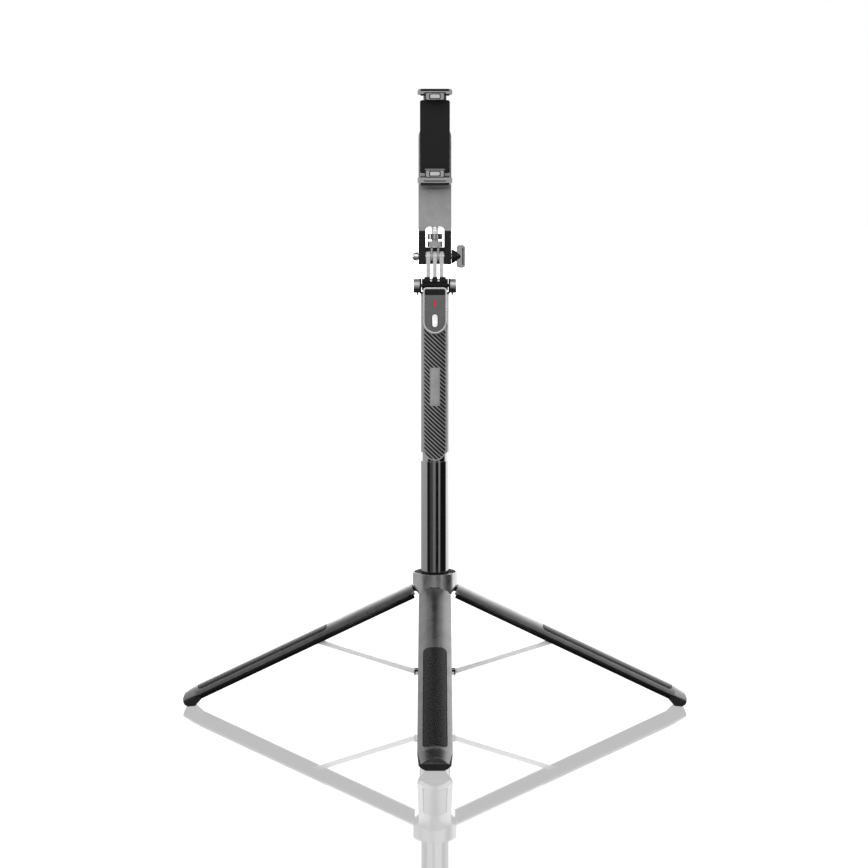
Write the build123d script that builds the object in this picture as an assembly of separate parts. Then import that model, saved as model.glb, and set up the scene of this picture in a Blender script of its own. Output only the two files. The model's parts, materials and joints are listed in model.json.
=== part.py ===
from build123d import *
from math import asin, cos, degrees, radians, sin, sqrt
import os

# Extending selfie stick that stands on four folding legs.
# Millimetres, +Z up. The origin is on the ground, on the axis of the pole.
# The remote control and the phone face -Y. The legs point to -Y, +X, +Y and -X.
# Everything is drawn as it stands: legs open, pole pushed in, phone jaws 69 mm apart.

os.makedirs("parts", exist_ok=True)

# ---------------------------------------------------------------- driving dimensions
LEG_ANGLES = {"front": -90, "right": 0, "back": 90, "left": 180}

# Hub: the ring that carries the legs and slides on the column
RING_R = 19.65
RING_WALL = 1.15
RING_TOP = 121.6
RING_LOW = 100.0
ARCH_TOP = 109.4
ARCH_R = 18.1
NOTCH_TOP = 110.4
NOTCH_HALF = 4.85
CORE_TOP = 119.0
CORE_SLOT_TOP = 111.2
CORE_LOW = 105.0
BUSH_R = 13.0
RIM_CHAMFER = 0.35
SLIDE_FIT = 0.06
FAR = 60.0

# Leg hinge, and the strut that braces each leg
PIVOT_R = 16.3
PIVOT_Z = 107.7
LEG_OPEN = 64.4
HINGE_PIN_R = 1.0
HINGE_PIN_HALF = 6.4
KNUCKLE_R = 2.6
KNUCKLE_HALF = 4.4
STRUT_ALONG = 108.0
COLLAR_PIN_Z = 30.15

# Leg: a quarter of a tube, folded round the column, outer radius flush round the stick
LEG_R = 20.4
LEG_WALL = 1.5
LEG_BORE_R = 12.8
LEG_GAP = 0.25
SHELL_START = 3.0
SHELL_END = 219.0
SHELL_FLANGE_R = 17.4
CROWN_GAP = 0.6
LINER_START = 5.0
LINER_END = 217.0
INLAY_START = 87.3
INLAY_END = 215.9
INLAY_HALF = 10.15
INLAY_DEPTH = 0.6
INLAY_CORNER = 4.0
INLAY_GROOVE = 1.0
FOOT_TIP = 232.5
FOOT_CONE_END = 229.0
FOOT_CONE_R = 19.2
POCKET_ROOF = 17.6
POCKET_EDGE = 1.3
POCKET_RIB = 1.4
POCKET_COUNT = 6
SPINE_HALF = 4.7

# Strut
STRUT_HEIGHT = 4.0
STRUT_HALF = 1.2
STRUT_EYE_R = 2.4
RIVET_R = 1.0
RIVET_HALF = 3.9
STRUT_SLOT_HALF = 2.0
COLLAR_POCKET_HALF = 4.5

# Column and grip
COLUMN_R = 12.45
COLUMN_LOW = 33.0
COLUMN_TOP = 221.5
LINER_TUBE_R = 11.25
LINER_TUBE_BORE = 10.6
GRIP_R = 12.45
GRIP_LOW = 229.0
GRIP_TOP = 369.0
PANEL_HALF = 10.65
PANEL_LOW = 222.4
RIB_PITCH = 3.7
RIB_WIDTH = 1.65
RIB_HEIGHT = 0.4
BADGE_HALF = 3.45
BADGE_LOW = 271.9
BADGE_TOP = 303.6

# Telescoping pole
SECTION_LOW = 45.0
SECTION_WALL = 0.8
SECTION_FIT = 0.08
SECTION_COUNT = 4

# Remote control
REMOTE_HALF = 10.45
REMOTE_LOW = 334.8
REMOTE_TOP = 375.1
REMOTE_FRONT = -17.5
REMOTE_SADDLE_R = 12.9
BEZEL_WIDTH = 1.5
BUTTON_HALF = 2.3
BUTTON_LOW = 340.4
BUTTON_TOP = 351.8
WINDOW_Z = 361.0

# Head: fold hinge, action-camera fork, tilt bolt
FOLD_Z = 376.2
FORK_HALF = 11.5
CHEEK_IN = 11.9
CHEEK_OUT = 13.4
CAP_OUT = 18.8
CAP_R = 6.2
TILT_Z = 401.7
PRONG_OUTER = (4.05, 7.65)
PRONG_MID = 1.68
ADAPTER_PRONG = (1.98, 3.75)
PRONG_R = 4.3
PRONG_DEPTH = 4.0
BLOCK_TOP = FOLD_Z + 5.8
HUMP_TOP = FOLD_Z + 7.4
HUMPS = ((-9.4, -4.3), (-2.3, 2.2), (4.1, 9.6))
BLOCK_FRONT = -6.5
BLOCK_BACK = 5.2
BOLT_R = 2.5
BOLT_FIT = 0.06
BOLT_END = 20.5
DOME_R = 3.9
SCREW_R = 3.1

# Phone holder
PLATE_HALF = 14.35
ARM_IN = 8.15
ARM_LOW = 394.7
ARM_TOP = 424.0
WINDOW_TOP = 427.8
BACK_WALL = (8.3, 10.5)
BACK_WALL_TOP = 409.5
PLATE_Y = (0.4, 6.0)
SWIVEL_Z = 504.75
SWIVEL_R = 4.0
JAW_HALF = 15.0
JAW_FRONT = -19.6
SEAT_LOW = 471.5
SEAT_TOP = 540.5
JAW_LOW = 463.5
JAW_TOP = 546.0
JAW_CORNER = 3.6
LIP_BACK = -17.0
LIP_HALF = 8.5
PAD_BACK = -8.4
PAD_HALF = 12.6
HOUSING_FRONT = -7.6
HOUSING_HALF = 13.0
CAP_HALF = 12.4
CAP_HEIGHT = 2.0
CAP_BACK = -6.0
PLATE_STEP = 460.2

# ---------------------------------------------------------------- linkage sizes
PIN_DROP = PIVOT_Z - COLLAR_PIN_Z
STRUT_LENGTH = sqrt(PIN_DROP**2 + STRUT_ALONG**2 - 2 * PIN_DROP * STRUT_ALONG * cos(radians(LEG_OPEN)))
STRUT_LEAN = degrees(asin(STRUT_ALONG * sin(radians(LEG_OPEN)) / STRUT_LENGTH))
COLLAR_POCKET_START = STRUT_ALONG + STRUT_LENGTH - 7


# ---------------------------------------------------------------- helpers
def block(x0, x1, y0, y1, z0, z1):
    """A box from its two corners."""
    return Pos((x0 + x1) / 2, (y0 + y1) / 2, (z0 + z1) / 2) * Box(x1 - x0, y1 - y0, z1 - z0)


def post(radius, z0, z1, x=0.0, y=0.0):
    """An upright cylinder."""
    return Pos(x, y, (z0 + z1) / 2) * Cylinder(radius, z1 - z0)


def pipe(outer, inner, z0, z1):
    """An upright tube."""
    return post(outer, z0, z1) - post(inner, z0 - 1, z1 + 1)


def rod_x(radius, x0, x1, y, z):
    """A cylinder along X."""
    return Pos((x0 + x1) / 2, y, z) * Rot(0, 90, 0) * Cylinder(radius, x1 - x0)


def rod_y(radius, y0, y1, x, z):
    """A cylinder along Y."""
    return Pos(x, (y0 + y1) / 2, z) * Rot(90, 0, 0) * Cylinder(radius, y1 - y0)


def front_prism(sketch, y0, y1):
    """A front-view outline, drawn as (X, Z), made into a solid from y0 to y1."""
    return extrude(Plane.XZ.offset(-y1) * sketch, y1 - y0)


def save(shape, name):
    """Write one named piece."""
    export_step(shape, f"parts/{name}.step")


def open_leg(shape):
    """Swing a piece drawn on a folded leg, along -Z at +X, out to the open leg."""
    return Pos(PIVOT_R, 0, PIVOT_Z) * Rot(0, -LEG_OPEN, 0) * Pos(-PIVOT_R, 0, -PIVOT_Z) * shape


def cross_pin(radius, length, z):
    """A pin across a folded leg, as far out as the hinge pin."""
    return Pos(PIVOT_R, 0, z) * Rot(90, 0, 0) * Cylinder(radius, length)


def quarter(inner, outer, start, end):
    """A quarter of a tube on a folded leg, between two distances below the hinge pin."""
    z0 = PIVOT_Z - end
    z1 = PIVOT_Z - start
    edge = LEG_GAP * sqrt(2)
    reach = 2 * outer
    wedge = Polygon((edge, 0), (edge + reach, -reach), (edge + reach, reach), align=None)
    return pipe(outer, inner, z0, z1) & extrude(Pos(0, 0, z0) * wedge, z1 - z0)


# ---------------------------------------------------------------- hub
def make_hub():
    """Ring, core with hinge lugs, guide bush and the four hinge pins."""
    ring = pipe(RING_R, RING_R - RING_WALL, RING_LOW, RING_TOP)
    arch_z = ARCH_TOP - ARCH_R
    for turn in (0, 90):
        ring -= Rot(0, 0, turn) * rod_x(ARCH_R, -FAR, FAR, 0, arch_z)
        ring -= Rot(0, 0, turn) * block(-FAR, FAR, -NOTCH_HALF, NOTCH_HALF, ARCH_TOP - 3, NOTCH_TOP)
    ring = max(ring.solids(), key=lambda solid: solid.volume)
    ring = chamfer(ring.edges().filter_by(GeomType.CIRCLE).group_by(Axis.Z)[-1], RIM_CHAMFER)
    save(ring, "hub_ring")

    pin = cross_pin(HINGE_PIN_R, 2 * HINGE_PIN_HALF, PIVOT_Z)
    core = pipe(RING_R - RING_WALL, BUSH_R, CORE_LOW, CORE_TOP)
    for angle in LEG_ANGLES.values():
        slot = block(0, FAR, -NOTCH_HALF, NOTCH_HALF, CORE_LOW - 1, CORE_SLOT_TOP)
        core -= Rot(0, 0, angle) * (slot + pin)
    save(core, "hub_core")
    save(pipe(BUSH_R, COLUMN_R + SLIDE_FIT, CORE_LOW - 0.7, CORE_TOP), "hub_guide_bush")
    save(Compound([Rot(0, 0, angle) * pin for angle in LEG_ANGLES.values()]), "leg_hinge_pins")


# ---------------------------------------------------------------- legs
def leg_shell():
    """Metal outer skin with turned-in edges and a pocket for the inlay."""
    shell = quarter(LEG_R - LEG_WALL, LEG_R, SHELL_START, SHELL_END)
    edges = quarter(SHELL_FLANGE_R, LEG_R, SHELL_START, SHELL_END)
    inner = Pos(LEG_WALL * sqrt(2), 0, 0) * quarter(10, LEG_R, SHELL_START - 1, SHELL_END + 1)
    shell += edges - inner
    crown = rod_x(ARCH_R - CROWN_GAP, 0, FAR, 0, ARCH_TOP - ARCH_R)
    below = block(0, FAR, -FAR, FAR, PIVOT_Z - SHELL_END - 5, ARCH_TOP - ARCH_R)
    shell &= crown + below
    return shell - inlay_block(0.0, LEG_R - INLAY_DEPTH, LEG_R + 5)


def inlay_block(shrink, r_low, r_high):
    """The inlay's rounded outline, between two radii."""
    length = INLAY_END - INLAY_START - 2 * shrink
    width = 2 * (INLAY_HALF - shrink)
    middle = PIVOT_Z - (INLAY_START + INLAY_END) / 2
    outline = Pos(0, middle) * RectangleRounded(width, length, INLAY_CORNER - shrink)
    solid = extrude(Plane.YZ * outline, FAR)
    return solid & pipe(r_high, r_low, middle - length, middle + length)


def leg_liner():
    """Plastic channel inside the skin: hinge knuckle, strut slot, its rivet hole and pockets."""
    liner = quarter(LEG_BORE_R, LEG_R - LEG_WALL, LINER_START, LINER_END)
    flange = quarter(SHELL_FLANGE_R, LEG_R + 1, LINER_START - 3, LINER_END + 3)
    flange -= Pos((LEG_WALL + 0.02) * sqrt(2), 0, 0) * quarter(10, LEG_R + 1, LINER_START - 4, LINER_END + 4)
    liner -= flange
    liner -= liner_pockets()
    web = block(PIVOT_R - 2.2, PIVOT_R + 2.0, -KNUCKLE_HALF, KNUCKLE_HALF, PIVOT_Z - LINER_START - 1, PIVOT_Z)
    liner += web + cross_pin(KNUCKLE_R, 2 * KNUCKLE_HALF, PIVOT_Z)
    liner -= cross_pin(HINGE_PIN_R + SLIDE_FIT, FAR, PIVOT_Z)
    liner -= leg_slot(STRUT_SLOT_HALF, STRUT_ALONG - 14, LINER_END + 1)
    liner -= leg_slot(COLLAR_POCKET_HALF, COLLAR_POCKET_START, LINER_END + 1)
    return liner - cross_pin(RIVET_R + 0.05, 2 * RIVET_HALF + 0.4, PIVOT_Z - STRUT_ALONG)


def liner_pockets():
    """Pockets each side of the liner's spine, open towards the column, with ribs between them."""
    start = LINER_START + 6
    end = COLLAR_POCKET_START - 2
    pitch = (end - start) / POCKET_COUNT
    pockets = []
    for number in range(POCKET_COUNT):
        near = start + number * pitch
        hollow = Pos(POCKET_EDGE * sqrt(2), 0, 0) * quarter(5, POCKET_ROOF, near, near + pitch - POCKET_RIB)
        spine = block(0, FAR, -SPINE_HALF, SPINE_HALF, PIVOT_Z - end - 1, PIVOT_Z)
        pockets += (hollow - spine).solids()
    return Compound(pockets)


def leg_slot(half, start, end):
    """A slot through the liner, open towards the column."""
    return block(5, LEG_R - LEG_WALL, -half, half, PIVOT_Z - end, PIVOT_Z - start)


def leg_inlay():
    """Grip strip set in the skin's pocket."""
    return inlay_block(INLAY_GROOVE, LEG_R - INLAY_DEPTH, LEG_R + 0.15)


def leg_foot():
    """Foot that tapers beyond the skin, cut level where it meets the ground."""
    r = PIVOT_R
    z = PIVOT_Z
    side = Polygon(
        (LEG_R, z - LINER_END),
        (LEG_R, z - SHELL_END),
        (FOOT_CONE_R, z - FOOT_CONE_END),
        (r + 0.1, z - 231.7),
        (r - 5.5, z - FOOT_TIP),
        (r - 8.6, z - 231.3),
        (r - 11.3, z - 225.6),
        (r - 7.25, z - LINER_END),
        align=None,
    )
    foot = extrude(Plane.XZ * side, 15, both=True)
    foot &= quarter(2.0, LEG_R, LINER_END, FOOT_TIP + 1)
    slope = (LEG_R - FOOT_CONE_R) / (FOOT_CONE_END - SHELL_END)
    length = FOOT_TIP - LINER_END + 2
    wide = LEG_R + slope * (SHELL_END - LINER_END + 1)
    foot &= Pos(0, 0, z - LINER_END + 1 - length / 2) * Cone(wide - slope * length, wide, length)
    skin = pipe(LEG_R + 2, LEG_R - LEG_WALL, z - SHELL_END, z - LINER_END + 1)
    sides = quarter(SHELL_FLANGE_R, LEG_R, LINER_END - 1, SHELL_END)
    sides -= Pos(LEG_WALL * sqrt(2), 0, 0) * quarter(10, LEG_R, LINER_END - 2, SHELL_END + 1)
    foot -= skin + sides
    return foot


def strut():
    """Steel bar with an eye at each end, and its two rivets, laid out on the folded leg."""
    top = PIVOT_Z - STRUT_ALONG
    low = top - STRUT_LENGTH
    bar = block(PIVOT_R - STRUT_HEIGHT / 2, PIVOT_R + STRUT_HEIGHT / 2, -STRUT_HALF, STRUT_HALF, low, top)
    rivets = []
    for z in (top, low):
        bar += cross_pin(STRUT_EYE_R, 2 * STRUT_HALF, z)
    for z in (top, low):
        rivet = cross_pin(RIVET_R, 2 * RIVET_HALF, z)
        bar -= rivet
        rivets.append(rivet)
    return Compound([bar] + rivets)


def make_legs():
    """Four equal legs and struts, opened and turned to their places."""
    shell = leg_shell()
    liner = leg_liner()
    inlay = leg_inlay()
    foot = leg_foot()
    strut_turn = LEG_OPEN + STRUT_LEAN
    at_rivet = Pos(PIVOT_R, 0, PIVOT_Z - STRUT_ALONG)
    back = Pos(-PIVOT_R, 0, STRUT_ALONG - PIVOT_Z)
    brace = at_rivet * Rot(0, strut_turn, 0) * back * strut()
    pieces = {"leg_shell": shell, "leg_liner": liner, "leg_inlay": inlay, "leg_foot": foot, "strut": brace}
    for side, angle in LEG_ANGLES.items():
        for name, piece in pieces.items():
            save(Rot(0, 0, angle) * open_leg(piece), f"{name}_{side}")


# ---------------------------------------------------------------- column and grip
def strut_collar():
    """Spider in the bottom of the column. Its slots let the strut rivets drop out downwards."""
    collar = post(LINER_TUBE_BORE, COLUMN_LOW, COLUMN_LOW + 9) + post(COLUMN_R, COLUMN_LOW - 2.2, COLUMN_LOW)
    low = COLLAR_PIN_Z - 2.5
    for angle in LEG_ANGLES.values():
        arm = block(6, 18.4, -RIVET_HALF - 0.1, RIVET_HALF + 0.1, low, COLUMN_LOW)
        arm -= block(12.6, 20, -STRUT_HALF - 0.6, STRUT_HALF + 0.6, low - 1, COLUMN_LOW + 1)
        arm -= block(PIVOT_R - 1.9, PIVOT_R + 1.15, -8, 8, low - 1, COLLAR_PIN_Z)
        arm -= cross_pin(RIVET_R + 0.15, FAR, COLLAR_PIN_Z)
        collar += Rot(0, 0, angle) * arm
    return collar


def panel_outline(shrink):
    """Front view of the grip panel: straight sides and a round bottom end."""
    half = PANEL_HALF - shrink
    centre = PANEL_LOW + PANEL_HALF
    top = GRIP_TOP
    body = Pos(0, (centre + top) / 2) * Rectangle(2 * half, top - centre)
    return body + Pos(0, centre) * Circle(half)


def grip_panel():
    """Curved front panel of the grip."""
    panel = front_prism(panel_outline(0), -20, 0)
    return panel & pipe(GRIP_R - RIB_HEIGHT, LINER_TUBE_R + 0.05, PANEL_LOW - 1, GRIP_TOP)


def grip_back():
    """Shell round the sides and back of the grip."""
    shell = pipe(GRIP_R, LINER_TUBE_R + 0.05, GRIP_LOW, GRIP_TOP)
    return shell - front_prism(panel_outline(-0.1), -20, 0)


def grip_ribs():
    """Slanting rubber ribs on the panel, left out round the badge and under the remote."""
    field = front_prism(panel_outline(1.2), -20, -2)
    field &= pipe(GRIP_R, GRIP_R - RIB_HEIGHT, PANEL_LOW, REMOTE_LOW + 12)
    badge = block(-BADGE_HALF - 1, BADGE_HALF + 1, -20, 0, BADGE_LOW - 1, BADGE_TOP + 1)
    remote = front_prism(remote_outline(-0.9), -20, 0)
    field -= badge + remote
    bars = []
    z = PANEL_LOW - 12
    while z < REMOTE_LOW + 24:
        bars.append(Pos(0, -10, z) * Rot(0, 43, 0) * Box(60, 20, RIB_WIDTH))
        z += RIB_PITCH
    ribs = []
    for bar in bars:
        piece = field & bar
        ribs += [solid for solid in piece.solids() if solid.volume > 0.4]
    return Compound(ribs)


def grip_badge():
    """Plain raised plate in the middle of the grip."""
    plate = block(-BADGE_HALF, BADGE_HALF, -20, 0, BADGE_LOW, BADGE_TOP)
    return plate & pipe(GRIP_R + 0.1, GRIP_R - RIB_HEIGHT, BADGE_LOW, BADGE_TOP)


def make_column():
    """Column tube, inner tube, strut collar and the grip."""
    save(pipe(COLUMN_R, LINER_TUBE_R, COLUMN_LOW, COLUMN_TOP), "column_tube")
    save(pipe(LINER_TUBE_R, LINER_TUBE_BORE, COLUMN_LOW, GRIP_TOP - 0.6), "pole_outer_tube")
    save(strut_collar(), "strut_collar")
    save(grip_back(), "grip_back_shell")
    save(grip_panel(), "grip_front_panel")
    save(grip_ribs(), "grip_ribs")
    save(grip_badge(), "grip_badge")


# ---------------------------------------------------------------- remote control
def remote_outline(shrink):
    """Front view of the remote: small corners above, a round end below."""
    half = REMOTE_HALF - shrink
    centre = REMOTE_LOW + REMOTE_HALF
    top = REMOTE_TOP - shrink
    body = Pos(0, (centre + top) / 2) * Rectangle(2 * half, top - centre)
    body = fillet(body.vertices().group_by(Axis.Y)[-1], 3.0 - min(shrink, 2.0))
    return body + Pos(0, centre) * Circle(half)


def make_remote():
    """Clip-on remote: case, bezel, face, button, window, circuit board and coin cell."""
    saddle = post(REMOTE_SADDLE_R, REMOTE_LOW - 5, REMOTE_TOP + 5)
    saddle += block(-20, 20, -REMOTE_SADDLE_R - 0.3, 20, GRIP_TOP - 0.6, REMOTE_TOP + 5)
    front = REMOTE_FRONT
    case = front_prism(remote_outline(0.3), front + 1.2, -6) - saddle
    case -= front_prism(remote_outline(1.6), front, front + 4.0)
    save(case, "remote_case")
    bezel = front_prism(remote_outline(0), front, front + 1.2)
    bezel -= front_prism(remote_outline(BEZEL_WIDTH), front - 1, front + 2)
    save(bezel, "remote_bezel")

    face = front_prism(remote_outline(BEZEL_WIDTH), front + 0.25, front + 1.2)
    middle = (BUTTON_LOW + BUTTON_TOP) / 2
    length = BUTTON_TOP - BUTTON_LOW
    recess = Pos(0, middle) * SlotOverall(length + 1.0, 2 * BUTTON_HALF + 1.0, rotation=90)
    window = Pos(0, WINDOW_Z) * SlotOverall(7.0, 2.2, rotation=90)
    face -= front_prism(recess, front - 1, front + 3)
    face -= front_prism(window, front - 1, front + 3)
    save(face, "remote_face")
    pill = Pos(0, middle) * SlotOverall(length, 2 * BUTTON_HALF, rotation=90)
    save(front_prism(pill, front - 0.15, front + 1.5), "remote_button")
    save(front_prism(window, front + 0.3, front + 1.2), "remote_window")

    board = front_prism(remote_outline(2.0), front + 2.2, front + 3.0)
    save(board, "remote_circuit_board")
    cell = rod_y(7.0, front + 1.25, front + 2.15, 0, 362.5)
    save(cell, "remote_coin_cell")


# ---------------------------------------------------------------- telescoping pole
def make_pole():
    """Thin tubes that slide in one another, each with a running fit."""
    outer = LINER_TUBE_BORE
    for number in range(1, SECTION_COUNT + 1):
        outer -= SECTION_FIT
        inner = outer - SECTION_WALL
        save(pipe(outer, inner, SECTION_LOW, GRIP_TOP - 1.2 + 0.3 * number), f"pole_section_{number}")
        outer = inner
    return outer


# ---------------------------------------------------------------- head
def make_head(bore):
    """Fold hinge on the last pole section, and the three-pronged fork."""
    base = post(12.2, GRIP_TOP + 0.3, GRIP_TOP + 1.6) + post(bore, GRIP_TOP - 18, GRIP_TOP + 0.3)
    for side in (-1, 1):
        x0, x1 = sorted((side * CHEEK_IN, side * CHEEK_OUT))
        cheek = rod_x(CAP_R, x0, x1, 0, FOLD_Z)
        cheek += block(x0, x1, -CAP_R, CAP_R, GRIP_TOP + 0.3, FOLD_Z) & rod_x(9.5, x0, x1, 0, FOLD_Z)
        foot = block(min(x0, side * 10), max(x1, side * 10), -4.5, 4.5, GRIP_TOP + 0.3, GRIP_TOP + 1.6)
        base += cheek + foot
    base -= rod_x(1.5, -20, 20, 0, FOLD_Z)
    save(base, "head_base")

    caps = []
    for side in (-1, 1):
        x0, x1 = sorted((side * CHEEK_OUT, side * CAP_OUT))
        cap = rod_x(CAP_R, x0, x1, 0, FOLD_Z)
        outer_face = cap.faces().sort_by(Axis.X)[-1 if side > 0 else 0]
        cap = fillet(outer_face.edges(), 0.8)
        cap -= rod_x(1.5, -CAP_OUT + 2, CAP_OUT - 2, 0, FOLD_Z)
        x0, x1 = sorted((side * 14.4, side * 16))
        stub = block(x0, x1, -2, 2, FOLD_Z - 8.2, FOLD_Z - 5)
        caps.append(cap + stub)
    save(Compound(caps), "head_hinge_caps")
    save(rod_x(1.5, -CAP_OUT + 2, CAP_OUT - 2, 0, FOLD_Z), "head_hinge_pin")

    fork = rod_x(4.6, -FORK_HALF, FORK_HALF, 0, FOLD_Z)
    fork += block(-FORK_HALF, FORK_HALF, -4.6, 4.6, FOLD_Z, BLOCK_TOP)
    fork += block(-FORK_HALF, FORK_HALF, BLOCK_FRONT, BLOCK_BACK, FOLD_Z + 3.2, BLOCK_TOP)
    for x0, x1 in HUMPS:
        fork += block(x0, x1, -BLOCK_BACK, BLOCK_BACK, BLOCK_TOP, HUMP_TOP)
    fork -= rod_x(1.56, -20, 20, 0, FOLD_Z)
    save(fork, "head_block")


def make_fork():
    """Three prongs, a light moulding set in the head block."""
    prongs = []
    for x0, x1 in ((-PRONG_OUTER[1], -PRONG_OUTER[0]), (-PRONG_MID, PRONG_MID), PRONG_OUTER):
        prong = block(x0, x1, -PRONG_DEPTH, PRONG_DEPTH, HUMP_TOP, TILT_Z) + rod_x(PRONG_R, x0, x1, 0, TILT_Z)
        prongs.append(prong - rod_x(BOLT_R, x0 - 1, x1 + 1, 0, TILT_Z))
    save(Compound(prongs), "fork_prongs")


# ---------------------------------------------------------------- phone holder
def make_tilt_bolt():
    """Dome-headed bolt through the prongs, and the T-shaped knob that tightens it."""
    bolt = rod_x(BOLT_R, -PLATE_HALF - 0.5, BOLT_END, 0, TILT_Z)
    head_x = -PLATE_HALF - 0.3
    dome_x = head_x - 1.8
    half = block(dome_x - DOME_R, dome_x, -DOME_R, DOME_R, TILT_Z - DOME_R, TILT_Z + DOME_R)
    dome = Pos(dome_x, 0, TILT_Z) * Sphere(DOME_R)
    head = rod_x(DOME_R, dome_x, head_x, 0, TILT_Z) + (dome & half)
    socket = extrude(Plane.YZ.offset(dome_x - 5) * Pos(0, TILT_Z) * RegularPolygon(1.45, 6), 4)
    save(bolt + head - socket, "tilt_bolt")

    hub = Pos(17.5, 0, TILT_Z) * Rot(0, 90, 0) * Cone(5.8, 3.0, 5.8)
    bar = Pos(22.8, 0, TILT_Z) * Box(7.6, 7.0, 20.0)
    bar = fillet(bar.edges().filter_by(Axis.Y), 2.4)
    bar = fillet(bar.edges().filter_by(GeomType.CIRCLE).sort_by(Axis.Y)[:4], 0.8)
    groove = block(24.0, 25.0, -9, 9, TILT_Z - 7.5, TILT_Z + 7.5)
    groove -= block(23, 26, -2.8, 2.8, TILT_Z - 9, TILT_Z + 9)
    bore = rod_x(BOLT_R + BOLT_FIT, 10, BOLT_END + BOLT_FIT, 0, TILT_Z)
    save(hub + bar - groove - bore, "tilt_knob")


def make_adapter():
    """Two-pronged adapter, its camera screw and the knurled disc that locks it."""
    prongs = block(-6.4, 6.4, -5.5, 5.5, 409.9, 414.9)
    prongs = fillet(prongs.edges().filter_by(Axis.Z), 1.5)
    for x0, x1 in ((-ADAPTER_PRONG[1], -ADAPTER_PRONG[0]), ADAPTER_PRONG):
        prongs += block(x0, x1, -PRONG_DEPTH, PRONG_DEPTH, TILT_Z, 410.5) + rod_x(PRONG_R, x0, x1, 0, TILT_Z)
    prongs -= rod_x(BOLT_R + BOLT_FIT, -20, 20, 0, TILT_Z)
    prongs -= post(SCREW_R, 411.0, 416)
    save(prongs, "two_prong_adapter")
    save(post(SCREW_R, 411.0, 436.0), "camera_screw")

    disc = post(6.65, 416.6, 421.5)
    disc = chamfer(disc.edges().filter_by(GeomType.CIRCLE), 0.6)
    for number in range(24):
        disc -= Rot(0, 0, 15 * number) * Pos(6.85, 0, 419) * Box(0.9, 0.75, 6)
    save(disc - post(SCREW_R + BOLT_FIT, 410, 425), "locking_disc")


def make_plate():
    """Yoke that hangs on the tilt bolt, and the grey plate that it carries."""
    yoke = block(-PLATE_HALF, PLATE_HALF, -3.2, BACK_WALL[1], ARM_LOW, ARM_TOP)
    yoke -= block(-ARM_IN, ARM_IN, -10, BACK_WALL[0], ARM_LOW - 1, ARM_TOP + 1)
    yoke -= block(-ARM_IN, ARM_IN, -10, 20, BACK_WALL_TOP, ARM_TOP + 1)
    yoke -= rod_x(BOLT_R + BOLT_FIT, -20, 20, 0, TILT_Z)
    save(yoke, "holder_yoke")

    plate = block(-PLATE_HALF, PLATE_HALF, -3.2, PLATE_Y[1], ARM_TOP, PLATE_STEP)
    plate += block(-PLATE_HALF, PLATE_HALF, *PLATE_Y, PLATE_STEP, SWIVEL_Z)
    plate += rod_y(PLATE_HALF, *PLATE_Y, 0, SWIVEL_Z)
    arch = Pos(0, (ARM_TOP - 4 + WINDOW_TOP) / 2) * Rectangle(2 * ARM_IN, WINDOW_TOP - ARM_TOP + 4)
    arch = fillet(arch.vertices().group_by(Axis.Y)[-1], 3.2)
    plate -= front_prism(arch, -10, 20)
    plate -= post(SCREW_R, 420, 436.0)
    plate -= rod_y(SWIVEL_R, -10, 20, 0, SWIVEL_Z)
    save(plate, "holder_plate")
    rivet = rod_y(SWIVEL_R, -2.0, PLATE_Y[1], 0, SWIVEL_Z)
    rivet += rod_y(6.5, PLATE_Y[1], PLATE_Y[1] + 1.4, 0, SWIVEL_Z)
    save(rivet, "swivel_rivet")


def jaw_outline(low, high, corner):
    """Front view of a jaw: a bar with two rounded outer corners, drawn for the lower jaw."""
    outline = Pos(0, (low + high) / 2) * Rectangle(2 * JAW_HALF, high - low)
    return fillet(outline.vertices().group_by(Axis.Y)[0], corner)


def jaw_lip(low, high):
    """Block in the middle of a jaw that overhangs the phone's edge."""
    return front_prism(Pos(0, (low + high) / 2) * Rectangle(2 * LIP_HALF, high - low), JAW_FRONT, LIP_BACK)


def make_clamp():
    """Housing, fixed lower jaw, sprung upper jaw on its slide, and the rubber pads."""
    housing = block(-HOUSING_HALF, HOUSING_HALF, HOUSING_FRONT, 0, 474, 537)
    housing = fillet(housing.edges().filter_by(Axis.Y), 2.0)
    housing -= block(-10.2, 10.2, -4.9, -2.2, 488, 545)
    housing -= rod_y(SWIVEL_R + SLIDE_FIT, -3.0, 3, 0, SWIVEL_Z)
    save(housing, "clamp_housing")

    lower = front_prism(jaw_outline(JAW_LOW, SEAT_LOW - 1.5, JAW_CORNER), JAW_FRONT, -0.4)
    lower += block(-HOUSING_HALF, HOUSING_HALF, HOUSING_FRONT, -0.4, 469, 474)
    lower += jaw_lip(SEAT_LOW - 2.2, SEAT_LOW + 6)
    lower -= block(-CAP_HALF, CAP_HALF, JAW_FRONT - 1, CAP_BACK, JAW_LOW - 1, JAW_LOW + CAP_HEIGHT)
    save(lower, "lower_jaw")

    bar = jaw_outline(-JAW_TOP, -SEAT_TOP - 1.2, 2.4)
    upper = front_prism(bar.mirror(Plane.XZ), JAW_FRONT, -1.4)
    upper += block(-10, 10, -4.7, -2.4, 493, 543)
    upper += jaw_lip(SEAT_TOP - 3.8, SEAT_TOP + 1.8)
    upper -= block(-CAP_HALF, CAP_HALF, JAW_FRONT - 1, CAP_BACK, JAW_TOP - CAP_HEIGHT, JAW_TOP + 1)
    save(upper, "upper_jaw")

    pad_depth = (LIP_BACK, PAD_BACK)
    save(block(-PAD_HALF, PAD_HALF, *pad_depth, SEAT_LOW - 1.5, SEAT_LOW), "lower_jaw_pad")
    save(block(-PAD_HALF, PAD_HALF, *pad_depth, SEAT_TOP, SEAT_TOP + 1.2), "upper_jaw_pad")


# ---------------------------------------------------------------- build
make_hub()
make_legs()
make_column()
make_remote()
make_head(make_pole())
make_fork()
make_tilt_bolt()
make_adapter()
make_plate()
make_clamp()
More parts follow.
